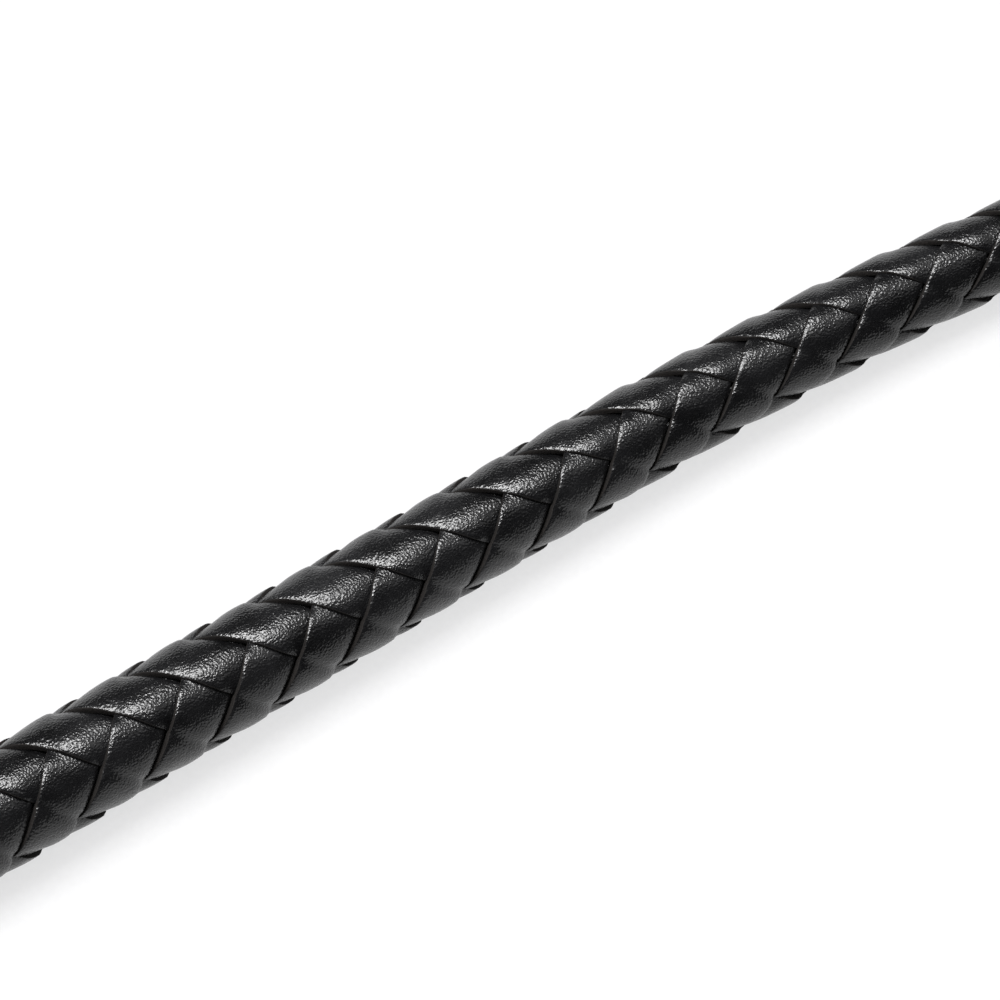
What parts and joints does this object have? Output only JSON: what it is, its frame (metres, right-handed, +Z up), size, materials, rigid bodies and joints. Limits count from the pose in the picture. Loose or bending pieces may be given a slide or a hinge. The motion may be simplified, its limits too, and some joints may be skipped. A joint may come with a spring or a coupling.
{
  "type": "riding crop",
  "caption": "Riding crop with a tapered braided-leather shaft, knotted butt with wrist loop and sliding runner, and a folded leather keeper at the tip.",
  "frame": {"origin": "centre of the underside of the bounding box of the crop lying on a floor", "axes": "+X along the length from the butt to the tip, +Z up"},
  "size_m": [0.778, 0.0866, 0.028],
  "materials": {
    "fibreglass": "drawn rod, slightly translucent",
    "filler": "plain undyed leather filler",
    "braid_leather": "black, fine grain, polished, glossy",
    "strap_leather": "black bridle leather, satin",
    "thread": "waxed black linen thread",
    "knob_wood": "turned beech, unvarnished",
    "staple_steel": "nickel-plated wire"
  },
  "bodies": {
    "shaft": {"core_rod": "fibreglass", "bolster": "filler", "butt_binding": "thread", "tip_binding": "thread", "knob_core": "knob_wood", "loop_staple": "staple_steel", "butt_cap": "strap_leather", "butt_knot": "braid_leather", "tip_knot": "braid_leather", "lace_1": "braid_leather", "lace_2": "braid_leather", "lace_3": "braid_leather", "lace_4": "braid_leather", "lace_5": "braid_leather", "lace_6": "braid_leather", "lace_7": "braid_leather", "lace_8": "braid_leather"},
    "loop": {"wrist_loop": "strap_leather", "loop_rivet": "staple_steel"},
    "runner": {"loop_runner": "strap_leather"},
    "keeper_flap": {"keeper": "strap_leather", "keeper_stitches": "thread"}
  },
  "joints": [
    {"name": "wrist_loop_swing", "type": "hinge", "parent": "shaft", "child": "loop", "pos_m": [-0.24901, 0.01241, 0.01438], "axis": [-0.0671, 0, 0.9977], "range_deg": [-80, 80]},
    {"name": "runner_slide", "type": "slide", "parent": "loop", "child": "runner", "axis": [-0.9977, 0, -0.0671], "range_m": [0, 0.024]},
    {"name": "keeper_flex", "type": "hinge", "parent": "shaft", "child": "keeper_flap", "pos_m": [0.31657, -0.02238, 0.00591], "axis": [0.1042, 0.9946, 0], "range_deg": [-45, 45], "stiffness_Nm_per_rad": 0.02}
  ]
}
